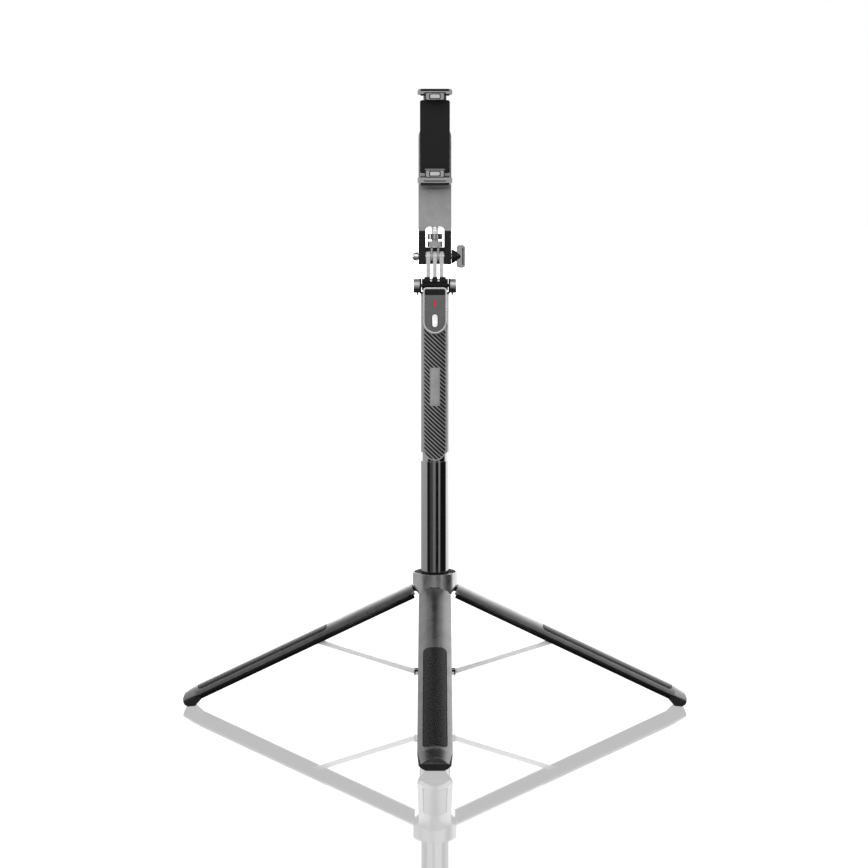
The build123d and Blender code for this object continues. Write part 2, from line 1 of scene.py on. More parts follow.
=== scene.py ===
"""Looks of the selfie stick: camera, studio, procedural finishes and the fine pieces CAD leaves out.

Metres, +Z up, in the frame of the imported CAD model. The remote and the phone face -Y.
"""
import json
import math

import bmesh
import bpy
from mathutils import Matrix, Vector


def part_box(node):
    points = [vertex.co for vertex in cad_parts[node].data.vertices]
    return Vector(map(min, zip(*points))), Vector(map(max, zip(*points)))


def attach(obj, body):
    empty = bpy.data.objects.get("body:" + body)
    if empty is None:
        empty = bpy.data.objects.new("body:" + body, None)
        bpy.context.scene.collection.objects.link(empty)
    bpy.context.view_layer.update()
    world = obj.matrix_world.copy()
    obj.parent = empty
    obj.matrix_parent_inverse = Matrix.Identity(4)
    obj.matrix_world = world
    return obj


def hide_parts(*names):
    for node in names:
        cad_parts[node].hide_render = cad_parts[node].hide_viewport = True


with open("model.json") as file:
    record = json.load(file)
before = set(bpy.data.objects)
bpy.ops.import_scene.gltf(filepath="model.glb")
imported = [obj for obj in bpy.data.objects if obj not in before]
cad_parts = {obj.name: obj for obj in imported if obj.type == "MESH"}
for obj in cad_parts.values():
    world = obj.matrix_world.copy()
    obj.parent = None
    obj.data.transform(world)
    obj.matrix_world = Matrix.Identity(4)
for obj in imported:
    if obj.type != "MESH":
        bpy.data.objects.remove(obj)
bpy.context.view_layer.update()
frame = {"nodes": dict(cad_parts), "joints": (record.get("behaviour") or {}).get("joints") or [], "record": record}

NODES = frame["nodes"]
MM = 0.001
LEG_TURNS = {"front": -90.0, "right": 0.0, "back": 90.0, "left": 180.0}
FLOOR_TONE = 0.02
FLOOR_GLOW = 0.50


# ---------------------------------------------------------------- camera, floor, studio light
def add_camera():
    """Long lens, a little above the head of the stick, looking slightly down."""
    data = bpy.data.cameras.new("camera")
    data.lens = 86.5
    data.sensor_width = 36.0
    camera = bpy.data.objects.new("camera", data)
    bpy.context.scene.collection.objects.link(camera)
    camera.location = (-0.0008, -1.837, 0.4452)
    camera.rotation_euler = (math.radians(83.774), 0.0, 0.0)
    bpy.context.scene.camera = camera


def add_floor():
    """Glossy white table, whose glow is left out of what the stick reflects."""
    reach = 40.0
    mesh = bpy.data.meshes.new("floor")
    corners = [(-reach, -reach, 0), (reach, -reach, 0), (reach, reach, 0), (-reach, reach, 0)]
    mesh.from_pydata(corners, [], [(0, 1, 2, 3)])
    floor = bpy.data.objects.new("floor", mesh)
    bpy.context.scene.collection.objects.link(floor)
    finish = Finish("floor_white_acrylic")
    finish.set(Roughness=0.03, IOR=1.9)
    finish.set(**{"Base Color": grey(FLOOR_TONE), "Emission Color": (1, 1, 1, 1)})
    glossy = finish.node("ShaderNodeLightPath").outputs["Is Glossy Ray"]
    glow = finish.node("ShaderNodeMapRange", {"Value": glossy, "To Min": FLOOR_GLOW, "To Max": 0.0})
    finish.tree.links.new(glow.outputs[0], finish.shader.inputs["Emission Strength"])
    finish.material.cycles.emission_sampling = "NONE"
    mesh.materials.append(finish.material)


def add_studio():
    """White all round for the camera; strip lights low down and broad soft ones above for the stick."""
    world = bpy.data.worlds.new("studio")
    bpy.context.scene.world = world
    world.use_nodes = True
    tree = world.node_tree
    tree.nodes.clear()

    def node(kind, inputs=None, **settings):
        made = tree.nodes.new(kind)
        for key, value in settings.items():
            setattr(made, key, value)
        for key, value in (inputs or {}).items():
            if isinstance(value, bpy.types.NodeSocket):
                tree.links.new(value, made.inputs[key])
            else:
                made.inputs[key].default_value = value
        return made

    def maths(operation, a, b):
        return node("ShaderNodeMath", {0: a, 1: b}, operation=operation).outputs[0]

    def ramp(place, stops):
        made = node("ShaderNodeValToRGB", {0: place})
        fill_ramp(made, stops)
        return maths("MULTIPLY", made.outputs[0], STUDIO_PEAK)

    direction = node("ShaderNodeTexCoord").outputs["Generated"]
    split = node("ShaderNodeSeparateXYZ", {0: direction})
    turn = maths("ARCTAN2", split.outputs["X"], maths("MULTIPLY", split.outputs["Y"], -1.0))
    across = maths("ADD", maths("DIVIDE", turn, 2 * math.pi), 0.5)
    low, high = (ramp(across, [((angle + 180) / 360, level / STUDIO_PEAK) for angle, level in ring])
                 for ring in (STUDIO_LOW, STUDIO_HIGH))
    rise = node("ShaderNodeMapRange", {"Value": split.outputs["Z"], "From Min": 0.19, "From Max": 0.30})
    both = node("ShaderNodeMix", {0: rise.outputs[0], 2: low, 3: high}).outputs[0]
    ceiling = node("ShaderNodeValToRGB", {0: split.outputs["Z"]})
    fill_ramp(ceiling, STUDIO_CEILING)
    light = maths("ADD", maths("MULTIPLY", both, ceiling.outputs[0]), STUDIO_FILL)
    seen = node("ShaderNodeLightPath").outputs["Is Camera Ray"]
    lit = node("ShaderNodeBackground", {"Color": light})
    plain = node("ShaderNodeBackground", {"Color": (1, 1, 1, 1)})
    either = node("ShaderNodeMixShader", {0: seen, 1: lit.outputs[0], 2: plain.outputs[0]})
    node("ShaderNodeOutputWorld", {"Surface": either.outputs[0]})
    bpy.context.scene.view_settings.view_transform = "Standard"


def add_soft_lights():
    """Four broad soft lights round the stick, for its matt surfaces: its gloss doesn't mirror them."""
    for turn, power in SOFT_LIGHTS:
        data = bpy.data.lights.new(f"soft_{turn}", "AREA")
        data.shape = "SQUARE"
        data.size = 1.6
        data.energy = power
        light = bpy.data.objects.new(f"soft_{turn}", data)
        bpy.context.scene.collection.objects.link(light)
        angle = math.radians(turn)
        place = Vector((2.0 * math.sin(angle), -2.0 * math.cos(angle), 1.1))
        light.location = place
        light.rotation_euler = (place - Vector((0, 0, 0.3))).to_track_quat("Z", "Y").to_euler()
        light.visible_glossy = False
        light.visible_camera = False


def fill_ramp(ramp, stops):
    """Grey stops, as (place, level) pairs, for a colour ramp node."""
    elements = ramp.color_ramp.elements
    while len(elements) > 1:
        elements.remove(elements[-1])
    for index, (place, level) in enumerate(stops):
        element = elements[0] if index == 0 else elements.new(place)
        element.position = place
        element.color = (level, level, level, 1)


# Light round the stick, by degrees from the front towards +X: strips low down, broad and soft above them
STUDIO_PEAK = 5.0
STUDIO_LOW = [
    (-180, 2.1), (-166, 2.1), (-156, 0.8), (-136, 1.8), (-72, 1.8), (-62, 0.01), (-44, 0.01), (-38, 0.25),
    (-19, 0.25), (-14, 0.9), (3, 0.9), (9, 0.01), (28, 0.01), (32, 1.2), (41, 1.2), (47, 0.01), (98, 0.01),
    (108, 4.4), (148, 4.4), (160, 2.1), (180, 2.1),
]
STUDIO_HIGH = [
    (-180, 2.3), (-162, 2.3), (-150, 0.7), (-100, 0.7), (-92, 0.2), (-74, 0.2), (-66, 1.7), (-24, 1.7),
    (-18, 0.8), (-4, 0.8), (2, 2.0), (58, 2.0), (66, 0.2), (86, 0.2), (98, 1.2), (150, 1.2), (162, 2.3),
    (180, 2.3),
]
STUDIO_CEILING = [(0.0, 1.0), (0.70, 1.0), (0.86, 0.02), (1.0, 0.02)]
STUDIO_FILL = 0.005
SOFT_LIGHTS = [(-25, 18.0), (90, 10.0), (180, 12.0), (-90, 10.0)]


# ---------------------------------------------------------------- finishes
class Finish:
    """A material, and the short words that its nodes are built with."""

    def __init__(self, name):
        self.material = bpy.data.materials.new(name)
        self.material.use_nodes = True
        self.tree = self.material.node_tree
        self.shader = self.tree.nodes["Principled BSDF"]

    def set(self, **values):
        """Constant values, on the shader's own sockets."""
        for name, value in values.items():
            self.shader.inputs[name].default_value = value

    def node(self, kind, inputs=None, **settings):
        """A node with its settings, and inputs that are numbers or other nodes' outputs."""
        made = self.tree.nodes.new(kind)
        for key, value in settings.items():
            setattr(made, key, value)
        for key, value in (inputs or {}).items():
            if isinstance(value, bpy.types.NodeSocket):
                self.tree.links.new(value, made.inputs[key])
            else:
                made.inputs[key].default_value = value
        return made

    def place(self, stretch=(1, 1, 1), turn=(0, 0, 0)):
        """Where a point is on the piece, in metres, stretched along the piece's own directions."""
        where = self.node("ShaderNodeTexCoord").outputs["Object"]
        rotation = tuple(math.radians(angle) for angle in turn)
        turned = self.node("ShaderNodeMapping", {"Vector": where, "Rotation": rotation})
        return self.node("ShaderNodeMapping", {"Vector": turned.outputs[0], "Scale": stretch}).outputs[0]

    def noise(self, size, detail=3.0, roughness=0.55, at=None, distortion=0.0):
        """Noise whose blotches are about size millimetres across."""
        at = at or self.place()
        values = {"Vector": at, "Scale": 1 / (size * MM), "Detail": detail}
        values.update({"Roughness": roughness, "Distortion": distortion})
        return self.node("ShaderNodeTexNoise", values).outputs["Fac"]

    def cells(self, size, feature="F1"):
        """Voronoi cells about size millimetres apart."""
        values = {"Vector": self.place(), "Scale": 1 / (size * MM)}
        return self.node("ShaderNodeTexVoronoi", values, feature=feature).outputs["Distance"]

    def between(self, value, low, high, to_low=0.0, to_high=1.0):
        """value from low..high moved to to_low..to_high, smoothly."""
        values = {"Value": value, "From Min": low, "From Max": high, "To Min": to_low, "To Max": to_high}
        return self.node("ShaderNodeMapRange", values, interpolation_type="SMOOTHSTEP").outputs[0]

    def maths(self, operation, a, b):
        made = self.node("ShaderNodeMath", operation=operation)
        for socket, value in zip(made.inputs, (a, b)):
            if isinstance(value, bpy.types.NodeSocket):
                self.tree.links.new(value, socket)
            else:
                socket.default_value = value
        return made.outputs[0]

    def mix(self, share, a, b):
        """Colour a where share is 0, and b where it is 1."""
        made = self.node("ShaderNodeMix", data_type="RGBA")
        for index, value in ((0, share), (6, a), (7, b)):
            if isinstance(value, bpy.types.NodeSocket):
                self.tree.links.new(value, made.inputs[index])
            else:
                made.inputs[index].default_value = value
        return made.outputs[2]

    def edges(self, radius=0.5):
        """1 along the sharp edges, 0 on the faces: where a finish rubs thin."""
        rounded = self.node("ShaderNodeBevel", {"Radius": radius * MM}, samples=4).outputs[0]
        true = self.node("ShaderNodeNewGeometry").outputs["Normal"]
        made = self.node("ShaderNodeVectorMath", {0: rounded, 1: true}, operation="DOT_PRODUCT")
        return self.between(made.outputs["Value"], 0.93, 0.995, 1.0, 0.0)

    def colour(self, socket):
        self.tree.links.new(socket, self.shader.inputs["Base Color"])

    def rough(self, socket):
        self.tree.links.new(socket, self.shader.inputs["Roughness"])

    def bump(self, *layers):
        """Height layers, as (socket, depth in millimetres) pairs, coarse first."""
        normal = None
        for height, depth in layers:
            values = {"Height": height, "Distance": depth * MM, "Strength": 1.0}
            if normal:
                values["Normal"] = normal
            normal = self.node("ShaderNodeBump", values).outputs[0]
        self.tree.links.new(normal, self.shader.inputs["Normal"])


def grey(level, warm=0.0):
    """A near-neutral linear colour."""
    return (level * (1 + warm), level, level * (1 - warm), 1)


def gunmetal(name="gunmetal_skin", level=0.31):
    """Bead-blasted, anodised aluminium: fine sparkle, faint cloudiness, bright metal at rubbed edges."""
    f = Finish(name)
    f.set(Metallic=1.0, IOR=1.45)
    cloud = f.between(f.noise(14, 3), 0.35, 0.65)
    tone = f.mix(cloud, grey(level * 0.88), grey(level))
    worn = f.maths("MULTIPLY", f.edges(0.35), f.between(f.noise(1.6, 4), 0.45, 0.62))
    f.colour(f.mix(worn, tone, grey(level * 1.4 + 0.15, 0.01)))
    grain = f.noise(0.22, 2)
    smear = f.between(f.noise(9, 5, distortion=1.2), 0.3, 0.7, 0.25, 0.33)
    f.rough(f.maths("ADD", smear, f.maths("MULTIPLY", grain, 0.05)))
    f.bump((f.noise(3, 2), 0.003), (grain, 0.0006))
    return f.material


def black_gloss_tube():
    """Gloss black anodised tube: hairline rubs along it, finger smears."""
    f = Finish("black_gloss_tube")
    f.set(Metallic=1.0)
    along = f.place(stretch=(1, 1, 0.02))
    hairline = f.noise(0.25, 2, at=along)
    tone = f.mix(f.between(hairline, 0.5, 0.75), grey(0.29), grey(0.33))
    worn = f.maths("MULTIPLY", f.edges(0.3), f.between(f.noise(4, 3), 0.2, 0.8, 0.1, 0.7))
    f.colour(f.mix(worn, tone, grey(0.50)))
    smear = f.between(f.noise(11, 5, distortion=1.5), 0.35, 0.7, 0.03, 0.10)
    f.rough(f.maths("ADD", smear, f.maths("MULTIPLY", f.between(hairline, 0.55, 0.8), 0.10)))
    f.bump((f.noise(20, 1), 0.01), (hairline, 0.0006))
    return f.material


def moulding(name, level, roughness, grain=0.35, depth=0.010, wear=0.25, warm=0.0, gloss=1.48):
    """Moulded plastic with a spark-eroded grain, slightly polished and paler at its edges."""
    f = Finish(name)
    f.set(IOR=gloss)
    cloud = f.between(f.noise(8, 4), 0.3, 0.7)
    tone = f.mix(cloud, grey(level * 0.90, warm), grey(level * 1.08, warm))
    speck = f.between(f.cells(grain * 1.7), 0.1, 0.5)
    tone = f.mix(f.maths("MULTIPLY", speck, 0.18), tone, grey(level * 0.6, warm))
    worn = f.maths("MULTIPLY", f.edges(0.3), f.between(f.noise(1.1, 4), 0.42, 0.66))
    f.colour(f.mix(f.maths("MULTIPLY", worn, wear), tone, grey(min(0.8, level * 2.2 + 0.05), warm)))
    polish = f.maths("MULTIPLY", f.edges(0.5), -0.10)
    uneven = f.between(f.noise(5, 5, distortion=0.8), 0.3, 0.7, roughness - 0.05, roughness + 0.06)
    f.rough(f.maths("ADD", uneven, polish))
    f.bump((f.noise(grain, 3, 0.6), depth), (f.cells(grain * 0.6), depth * 0.4))
    return f.material


def gloss_moulding(name, level, roughness=0.12, gloss=1.5):
    """Gloss plastic: orange peel, fine swirl scratches, smears."""
    f = Finish(name)
    f.set(IOR=gloss)
    swirl = f.noise(0.3, 2, at=f.place(stretch=(1, 0.08, 1), turn=(20, 35, 10)))
    tone = f.mix(f.between(f.noise(6, 3), 0.3, 0.7), grey(level * 0.85), grey(level * 1.15))
    worn = f.maths("MULTIPLY", f.edges(0.3), f.between(f.noise(1.0, 4), 0.45, 0.65))
    f.colour(f.mix(f.maths("MULTIPLY", worn, 0.5), tone, grey(level * 3 + 0.05)))
    smear = f.between(f.noise(7, 5, distortion=1.4), 0.35, 0.7, roughness * 0.7, roughness * 1.6)
    f.rough(f.maths("ADD", smear, f.maths("MULTIPLY", f.between(swirl, 0.6, 0.8), 0.08)))
    f.bump((f.noise(2.2, 1), 0.006), (swirl, 0.0008))
    return f.material


def inlay_rubber():
    """Soft grip strip with a fine leather-like pebble grain, its creases coloured darker as painted shade."""
    f = Finish("inlay_rubber")
    f.set(IOR=1.36)
    pebble = f.cells(0.85)
    crease = f.between(f.cells(0.85, feature="DISTANCE_TO_EDGE"), 0.0, 0.12)
    dust = f.between(f.noise(3, 5), 0.55, 0.8)
    # Painted shade: the creases between the pebbles are coloured darker.
    tone = f.mix(crease, grey(0.001), grey(0.006))
    f.colour(f.mix(f.maths("MULTIPLY", dust, 0.12), tone, grey(0.03, 0.03)))
    f.rough(f.between(f.noise(1.4, 4), 0.3, 0.7, 0.24, 0.34))
    f.bump((crease, 0.018), (pebble, -0.014), (f.noise(0.25, 2), 0.002))
    return f.material


def rubber(name, level, grain, roughness=0.62):
    """Matt rubber with stipple and a little dust in its hollows."""
    f = Finish(name)
    f.set(IOR=1.5)
    f.set(**{"Sheen Weight": 0.08})
    stipple = f.cells(grain)
    dust = f.between(f.noise(2.2, 6), 0.5, 0.75)
    tone = f.mix(f.between(f.noise(5, 3), 0.3, 0.7), grey(level * 0.8), grey(level * 1.2))
    f.colour(f.mix(f.maths("MULTIPLY", dust, 0.35), tone, grey(level * 2 + 0.04, 0.05)))
    f.rough(f.between(f.noise(2, 4), 0.3, 0.7, roughness - 0.06, roughness + 0.1))
    f.bump((stipple, grain * 0.12), (f.noise(0.2, 3), 0.008))
    return f.material


def bright_metal(name, level, roughness, stretch=(1, 1, 1), depth=0.002, metal=1.0):
    """Bright metal: finely brushed where stretch says, with smears, and its edges coloured darker as painted
    shade.
    """
    f = Finish(name)
    f.set(Metallic=metal)
    brush = f.noise(0.16, 3, at=f.place(stretch))
    cloud = f.between(f.noise(6, 4), 0.3, 0.7)
    tone = f.mix(cloud, grey(level * 0.94), grey(level))
    tone = f.mix(f.maths("MULTIPLY", f.between(brush, 0.35, 0.7), 0.25), tone, grey(level * 0.72))
    # Painted shade: the edges are coloured darker, standing in for the shade on rounded edges.
    f.colour(f.mix(f.maths("MULTIPLY", f.edges(0.25), 0.35), tone, grey(level * 0.55)))
    smear = f.between(f.noise(4, 5, distortion=1.0), 0.35, 0.7, roughness * 0.8, roughness * 1.4)
    f.rough(f.maths("ADD", smear, f.maths("MULTIPLY", brush, roughness * 0.3)))
    f.bump((f.noise(4, 1), 0.004), (brush, depth))
    return f.material


def laminate():
    """Black circuit board: copper runs under a gloss mask."""
    f = Finish("circuit_laminate")
    f.set(IOR=1.5)
    runs = f.between(f.cells(2.4, feature="DISTANCE_TO_EDGE"), 0.02, 0.08)
    weave = f.noise(0.4, 2)
    tone = f.mix(runs, (0.020, 0.030, 0.022, 1), (0.005, 0.009, 0.006, 1))
    f.colour(f.mix(f.maths("MULTIPLY", weave, 0.3), tone, (0.012, 0.018, 0.013, 1)))
    f.rough(f.between(f.noise(3, 3), 0.3, 0.7, 0.2, 0.34))
    f.bump((runs, -0.03), (weave, 0.004))
    return f.material


def red_window():
    """Smoked red lens over the indicator lamp."""
    f = Finish("red_window")
    f.set(IOR=1.5)
    f.set(**{"Coat Weight": 0.5, "Coat Roughness": 0.05, "Emission Color": (0.6, 0.01, 0.02, 1)})
    f.set(**{"Emission Strength": 0.12})
    ribs = f.between(f.noise(0.5, 2, at=f.place(stretch=(1, 1, 0.15))), 0.3, 0.7)
    f.colour(f.mix(ribs, (0.30, 0.008, 0.018, 1), (0.45, 0.02, 0.035, 1)))
    f.rough(f.between(f.noise(1.5, 4), 0.3, 0.7, 0.10, 0.2))
    f.bump((ribs, 0.01), (f.noise(0.3, 2), 0.002))
    return f.material


SLOT_FINISH = {
    "gunmetal_skin": gunmetal,
    "black_gloss_tube": black_gloss_tube,
    "black_moulding": lambda: moulding("black_moulding", 0.006, 0.40, wear=0.12, gloss=1.34),
    "black_gloss": lambda: gloss_moulding("black_gloss", 0.004, gloss=1.34),
    "grey_moulding": lambda: moulding("grey_moulding", 0.265, 0.36, grain=0.25, depth=0.006),
    "light_grey_moulding": lambda: moulding("light_grey_moulding", 0.46, 0.34, grain=0.25, depth=0.005),
    "inlay_rubber": inlay_rubber,
    "foot_rubber": lambda: rubber("foot_rubber", 0.006, 0.5),
    "jaw_rubber": lambda: rubber("jaw_rubber", 0.035, 0.35, 0.55),
    "bright_chrome": lambda: bright_metal("bright_chrome", 0.88, 0.20, depth=0.0006),
    "strut_steel": lambda: bright_metal("strut_steel", 0.94, 0.40, depth=0.001, metal=0.45),
    "pole_aluminium": lambda: bright_metal("pole_aluminium", 0.72, 0.34, stretch=(1, 1, 0.02)),
    "guide_nylon": lambda: moulding("guide_nylon", 0.70, 0.42, grain=0.5, wear=0.0, warm=0.02),
    "remote_grey": lambda: moulding("remote_grey", 0.10, 0.33, grain=0.22, depth=0.004),
    "white_button": lambda: gloss_moulding("white_button", 0.80, 0.18),
    "red_window": red_window,
    "circuit_laminate": laminate,
}

WELD_GAP = 0.002 * MM
FLAT_ANGLE = math.radians(0.6)
SOFT_EDGE = 0.25 * MM
EDGE_WIDTH = {
    "grip_ribs": 0.08 * MM,
    "inlay_rubber": 0.12 * MM,
    "circuit_laminate": 0.08 * MM,
    "strut_steel": 0.2 * MM,
    "remote_grey": 0.15 * MM,
    "pole_aluminium": 0.12 * MM,
    "black_gloss_tube": 0.25 * MM,
}


def dress_cad_nodes():
    """The finish of each CAD node, from its slot, and a real rounding along its sharp edges."""
    made = {slot: maker() for slot, maker in SLOT_FINISH.items()}
    for row in frame["record"]["subparts"]:
        piece = NODES[row["node"]]
        slot = row["material_slot"]
        piece.data.materials.clear()
        piece.data.materials.append(made[slot])
        soften(piece, EDGE_WIDTH.get(row["node"], EDGE_WIDTH.get(slot, SOFT_EDGE)))
    # Painted light: the hub ring, of the same gunmetal as the legs, gets a paler copy of it.
    NODES["hub_ring"].data.materials[0] = gunmetal("gunmetal_hub_painted_light", 0.47)
    NODES["head_hinge_caps"].data.materials[0] = bright_metal("satin_chrome", 0.62, 0.40)
    NODES["locking_disc"].data.materials[0] = bright_metal("knurled_disc", 0.62, 0.12)
    return made


def soften(piece, width):
    """Joined, cleaned faces and a small round along every sharp edge."""
    weld = piece.modifiers.new("weld", "WELD")
    weld.merge_threshold = WELD_GAP
    flat = piece.modifiers.new("flat", "DECIMATE")
    flat.decimate_type = "DISSOLVE"
    flat.angle_limit = FLAT_ANGLE
    add_rounding(piece, width)


def add_rounding(piece, width):
    """A small round along every sharp edge, and normals that keep the flats flat."""
    rounding = piece.modifiers.new("round", "BEVEL")
    rounding.width = width
    rounding.segments = 2
    rounding.limit_method = "ANGLE"
    rounding.angle_limit = math.radians(35)
    rounding.harden_normals = True
    rounding.use_clamp_overlap = True
    rounding.miter_outer = "MITER_ARC"
    even = piece.modifiers.new("even", "WEIGHTED_NORMAL")
    even.keep_sharp = True
    even.weight = 80


# ---------------------------------------------------------------- fine pieces
# Sizes in millimetres
CAP_HALF = 12.4
CAP_HEIGHT = 2.0
CAP_BACK = -6.0
LIP_HALF = 8.5
LIP_HEIGHT = 8.2
JAW_LAYERS = (
    ("frame", "black_moulding", 8.5, 3.5, 0.12),
    ("surround", "grey_moulding", 7.7, 2.75, 0.26),
    ("pad_frame", "black_moulding", 4.9, 2.3, 0.38),
    ("pad", "light_grey_moulding", 4.1, 1.6, 0.60),
)
PAD_RIBS = 6
PAD_RIB_DEPTH = 0.4
PAD_STEPS_PER_RIB = 8
PAD_BEVEL = 0.35
THREAD_PITCH = 1.27
THREAD_DEPTH = 0.45
THREAD_STEPS_PER_TURN = 8
THREAD_RUN_OUT = 0.8
HEAD_SCREW_X = {"left": -3.3, "right": 3.2}
HEAD_SCREW_DROP = 3.0
HEAD_SCREW_PROFILE = [(-0.3, 0.9), (0.15, 0.9), (0.33, 0.8), (0.45, 0.6), (0.45, 0.3), (0.15, 0.28)]
COLLAR_FLUTES = 24
FLUTE_DEPTH = 0.16
COLLAR_PROFILE = [
    (14.62, 3.0), (14.62, 5.75), (14.9, 6.0), (15.5, 6.05), (18.7, 4.1), (19.1, 4.3), (19.1, 2.9),
]
NOSE_PROFILE = [(18.9, 2.9), (18.9, 4.75), (19.6, 4.7), (22.6, 3.52), (22.6, 2.9)]
KNOB_HALF = 3.5
KNOB_GROOVE_SHADE_X = 24.5
BAND_HEIGHT = 5.0
STRAP_HALF = 2.5
STRAP_Z = 371.75
TAB_X = 15.3
TAB_DROP = 2.6
ADAPTER_STRIP_X = 5.8
ADAPTER_STRIP_DROP = 2.5
LEG_SLACK_DEG = 0.05
INLAY_PROUD = 0.15
INLAY_GROOVE = 1.0
INLAY_CORNER = 3.0
INLAY_FIT = 0.04
BORDER_BOTTOM = 0.58
END_DIVISIONS = 8
# Each part of a foot: finish, edge, and the cuts as (point, way out, whether what is beyond stays)
TOE_FACE = (0.694, -0.720)
FOOT_PARTS = {
    "cap": ("gunmetal_skin", 0.25, (((-1.2, 0), (1, 0), True), ((2.55, -229.0), TOE_FACE, False))),
    "toe": ("foot_rubber", 0.2, (((-1.35, 0), (1, 0), True), ((2.65, -229.0), TOE_FACE, True))),
    "sole": ("foot_rubber", 0.4, (((-1.35, 0), (1, 0), False),)),
}


def new_piece(name, mesh, body, slot, *, edge=0.0):
    """A finished piece: rounded edges, its slot's finish, riding on its body."""
    piece = bpy.data.objects.new(name, mesh)
    bpy.context.scene.collection.objects.link(piece)
    mesh.materials.append(FINISHES[slot])
    for face in mesh.polygons:
        face.use_smooth = True
    if edge:
        add_rounding(piece, edge)
    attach(piece, body)
    return piece


def mesh_of(bm, name):
    """The mesh of a bmesh, with its faces turned outwards."""
    bmesh.ops.recalc_face_normals(bm, faces=bm.faces)
    mesh = bpy.data.meshes.new(name)
    bm.to_mesh(mesh)
    bm.free()
    return mesh


def rounded_rectangle(half_width, half_height, corner, steps=6):
    """Points round a rectangle with rounded corners, anticlockwise."""
    points = []
    for x_side, z_side, start in ((1, 1, 0), (-1, 1, 90), (-1, -1, 180), (1, -1, 270)):
        for step in range(steps + 1):
            angle = math.radians(start + 90 * step / steps)
            x = x_side * (half_width - corner) + corner * math.cos(angle)
            z = z_side * (half_height - corner) + corner * math.sin(angle)
            points.append((x, z))
    return points


def front_plate(name, body, slot, middle, half_width, half_height, front, back, corner, edge=0.12):
    """A plate that faces -Y: a rounded rectangle round middle, (x, z), from front to back."""
    bm = bmesh.new()
    outline = rounded_rectangle(half_width, half_height, corner)
    near = [bm.verts.new(((middle[0] + x) * MM, front * MM, (middle[1] + z) * MM)) for x, z in outline]
    far = [bm.verts.new(((middle[0] + x) * MM, back * MM, (middle[1] + z) * MM)) for x, z in outline]
    count = len(outline)
    bm.faces.new(near)
    bm.faces.new(far)
    for index in range(count):
        after = (index + 1) % count
        bm.faces.new((near[index], near[after], far[after], far[index]))
    return new_piece(name, mesh_of(bm, name), body, slot, edge=edge * MM)


def lathe(profile, place, steps=32, wobble=None):
    """A turned solid from (along, radius) points in millimetres, moved by place from the Z axis."""
    bm = bmesh.new()
    rings = []
    for along, radius in profile:
        ring = []
        for step in range(steps):
            angle = 2 * math.pi * step / steps
            reach = radius + (wobble(along, angle) if wobble else 0.0)
            x = reach * MM * math.cos(angle)
            y = reach * MM * math.sin(angle)
            ring.append(bm.verts.new((x, y, along * MM)))
        rings.append(ring)
    for low, high in zip(rings, rings[1:]):
        for step in range(steps):
            after = (step + 1) % steps
            bm.faces.new((low[step], low[after], high[after], high[step]))
    bm.faces.new(rings[0])
    bm.faces.new(rings[-1])
    bmesh.ops.transform(bm, matrix=place, verts=bm.verts)
    return bm


def in_mm(node):
    """A CAD node's box in millimetres."""
    low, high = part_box(node)
    return low / MM, high / MM


def dress_jaws():
    """Black cap along each jaw's outer edge, a black strip as painted shade in the groove beside it, and the
    framed pad on the lip that holds the phone's edge.
    """
    upper_low, upper_high = in_mm("upper_jaw")
    lower_low, lower_high = in_mm("lower_jaw")
    front = upper_low.y
    jaws = {
        "upper": ("jaw", upper_high.z - CAP_HEIGHT / 2, in_mm("upper_jaw_pad")[0].z - 1.0, -1),
        "lower": ("clamp", lower_low.z + CAP_HEIGHT / 2, lower_high.z - LIP_HEIGHT / 2, 1),
    }
    for side, (body, cap_z, pad_z, up) in jaws.items():
        front_plate(f"{side}_jaw_cap", body, "black_moulding", (0, cap_z), CAP_HALF - 0.04,
                    CAP_HEIGHT / 2 - 0.02, front, CAP_BACK - 0.04, 0.7, edge=0.25)
        # Painted shade: a black strip stands where the groove along the jaw shows dark from shade.
        rim = cap_z + up * (CAP_HEIGHT / 2 + 1.6)
        front_plate(f"{side}_jaw_groove_painted_shade", body, "black_moulding", (0, rim), LIP_HALF + 1.2, 0.45, front - 0.12,
                    front + 0.5, 0.4, edge=0.08)
        for name, slot, half, height, proud in JAW_LAYERS:
            front_plate(f"{side}_jaw_{name}", body, slot, (0, pad_z), half, height, front - proud,
                        front + 0.4, 0.8, edge=0.1)


def make_jaw_pads():
    """Ribbed rubber pads that the phone's edges rest on."""
    for side, body in (("lower", "clamp"), ("upper", "jaw")):
        low, high = in_mm(f"{side}_jaw_pad")
        up = side == "lower"
        bm = bmesh.new()
        across = PAD_RIBS * PAD_STEPS_PER_RIB
        rows = []
        for index in range(across + 1):
            y = low.y + (high.y - low.y) * index / across
            rib = 0.5 - 0.5 * math.cos(2 * math.pi * PAD_RIBS * index / across)
            depth = PAD_RIB_DEPTH * (1 - rib)
            outer = high.z - depth if up else low.z + depth
            inner = low.z if up else high.z
            ends = (low.x + 0.02, low.x + PAD_BEVEL, high.x - PAD_BEVEL, high.x - 0.02)
            slope = PAD_BEVEL if up else -PAD_BEVEL
            drop = (slope, 0.0, 0.0, slope)
            face = [bm.verts.new((x * MM, y * MM, (outer - d) * MM)) for x, d in zip(ends, drop)]
            base = [bm.verts.new((x * MM, y * MM, inner * MM)) for x in (ends[-1], ends[0])]
            rows.append(face + base)
        for first, second in zip(rows, rows[1:]):
            for index in range(len(first)):
                after = (index + 1) % len(first)
                bm.faces.new((first[index], first[after], second[after], second[index]))
        bm.faces.new(rows[0])
        bm.faces.new(rows[-1])
        name = f"{side}_jaw_ribbed_pad"
        pad = new_piece(name, mesh_of(bm, name), body, "jaw_rubber")
        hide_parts(f"{side}_jaw_pad")


